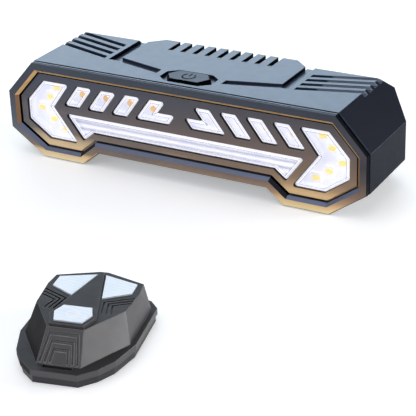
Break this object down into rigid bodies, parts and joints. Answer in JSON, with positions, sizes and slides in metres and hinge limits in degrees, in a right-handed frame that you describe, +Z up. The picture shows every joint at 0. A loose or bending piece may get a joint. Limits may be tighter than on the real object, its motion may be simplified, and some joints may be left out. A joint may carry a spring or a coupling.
{
  "type": "bicycle turn signal light",
  "caption": "Rear bicycle turn signal lamp with arrow, sequence and bar lights behind a faceted face, and its faceted wireless remote.",
  "frame": {"origin": "centre of the underside of the box round the lamp and its remote, on the surface that both stand on", "axes": "+Z up, the lamp shines towards -Y with the remote in front of it, +X to the right as seen from the front of the lamp"},
  "size_m": [0.12, 0.1416, 0.0313],
  "materials": {
    "amber_led": "yellow phosphor in a white package",
    "bezel": "glossy gunmetal plastic with a bronze coating",
    "body": "satin slate blue moulded plastic",
    "brass": "turned brass",
    "cell": "lithium cell in a blue sleeve",
    "charcoal": "satin charcoal plastic",
    "chip": "black epoxy chip package",
    "circuit_green": "green solder mask on glass fibre board",
    "circuit_white": "white solder mask on glass fibre board",
    "coin": "bright cell can",
    "contact": "nickel plated spring steel",
    "foam": "closed cell foam",
    "guide": "milky light guide",
    "inner": "black moulded plastic",
    "ivory": "ivory moulded plastic",
    "key": "milky pale blue plastic",
    "lens": "clear polycarbonate",
    "orange_led": "orange phosphor in a white package",
    "panel": "glossy dark plastic with a bronze coating",
    "red_led": "red light package with a clear top",
    "red_rubber": "red silicone rubber",
    "reflector": "white moulded plastic",
    "rubber": "black silicone rubber",
    "steel": "zinc plated steel",
    "wire": "insulated wire"
  },
  "bodies": {
    "lamp_body": {"housing": "body", "front_bezel": "bezel", "front_seal": "rubber", "face_panel": "panel", "arrow_lens_left": "lens", "arrow_lens_right": "lens", "sequence_lenses_left": "lens", "sequence_lenses_right": "lens", "hook_lenses": "lens", "bar_lens": "lens", "bar_light_guide": "guide", "reflector": "reflector", "light_board": "circuit_white", "turn_leds_left": "amber_led", "turn_leds_right": "amber_led", "sequence_leds": "orange_led", "brake_leds": "red_led", "board_screws": "steel", "control_chip": "chip", "radio_module": "circuit_green", "driver_chips": "chip", "power_switch": "steel", "button_seal": "rubber", "battery_cell": "cell", "battery_contacts": "contact", "battery_tray": "inner", "battery_pad": "foam", "battery_leads": "wire", "charge_board": "circuit_green", "charge_chip": "chip", "usb_socket": "steel", "charge_leads": "wire", "rear_seal": "rubber", "rear_cover": "inner", "rear_screws": "steel", "mount_inserts": "brass"},
    "power_button": {"power_button": "body", "switch_plunger": "ivory"},
    "usb_flap": {"usb_flap": "rubber"},
    "remote_body": {"remote_base": "charcoal", "remote_cover": "charcoal", "remote_switches": "steel", "remote_board": "circuit_green", "remote_chip": "chip", "remote_leds": "red_led", "remote_coin_cell": "coin", "remote_cell_clips": "contact", "remote_door_seal": "red_rubber", "remote_screws": "steel"},
    "remote_key_left": {"remote_key_left": "key", "remote_plunger_left": "ivory"},
    "remote_key_right": {"remote_key_right": "key", "remote_plunger_right": "ivory"},
    "remote_key_mode": {"remote_key_mode": "key", "remote_plunger_mode": "ivory"},
    "remote_battery_door": {"remote_battery_door": "charcoal"}
  },
  "joints": [
    {"name": "power_button_press", "type": "slide", "parent": "lamp_body", "child": "power_button", "axis": [0, 0, -1], "range_m": [0, 0.0006], "stiffness_N_per_m": 1500},
    {"name": "usb_flap_hinge", "type": "hinge", "parent": "lamp_body", "child": "usb_flap", "pos_m": [0, 0.07034, 0.01408], "axis": [1, 0, 0], "range_deg": [0, 100]},
    {"name": "remote_lift", "type": "slide", "parent": "lamp_body", "child": "remote_body", "axis": [0, 0, 1], "range_m": [0, 0.04]},
    {"name": "remote_left_press", "type": "slide", "parent": "remote_body", "child": "remote_key_left", "axis": [0, 0, -1], "range_m": [0, 0.00035], "stiffness_N_per_m": 2000},
    {"name": "remote_right_press", "type": "slide", "parent": "remote_body", "child": "remote_key_right", "axis": [0, 0, -1], "range_m": [0, 0.00035], "stiffness_N_per_m": 2000},
    {"name": "remote_mode_press", "type": "slide", "parent": "remote_body", "child": "remote_key_mode", "axis": [0, 0, -1], "range_m": [0, 0.00035], "stiffness_N_per_m": 2000},
    {"name": "battery_door_twist", "type": "hinge", "parent": "remote_body", "child": "remote_battery_door", "pos_m": [0.02309, -0.048, 0.0005], "axis": [0, 0, 1], "range_deg": [0, 30]}
  ]
}
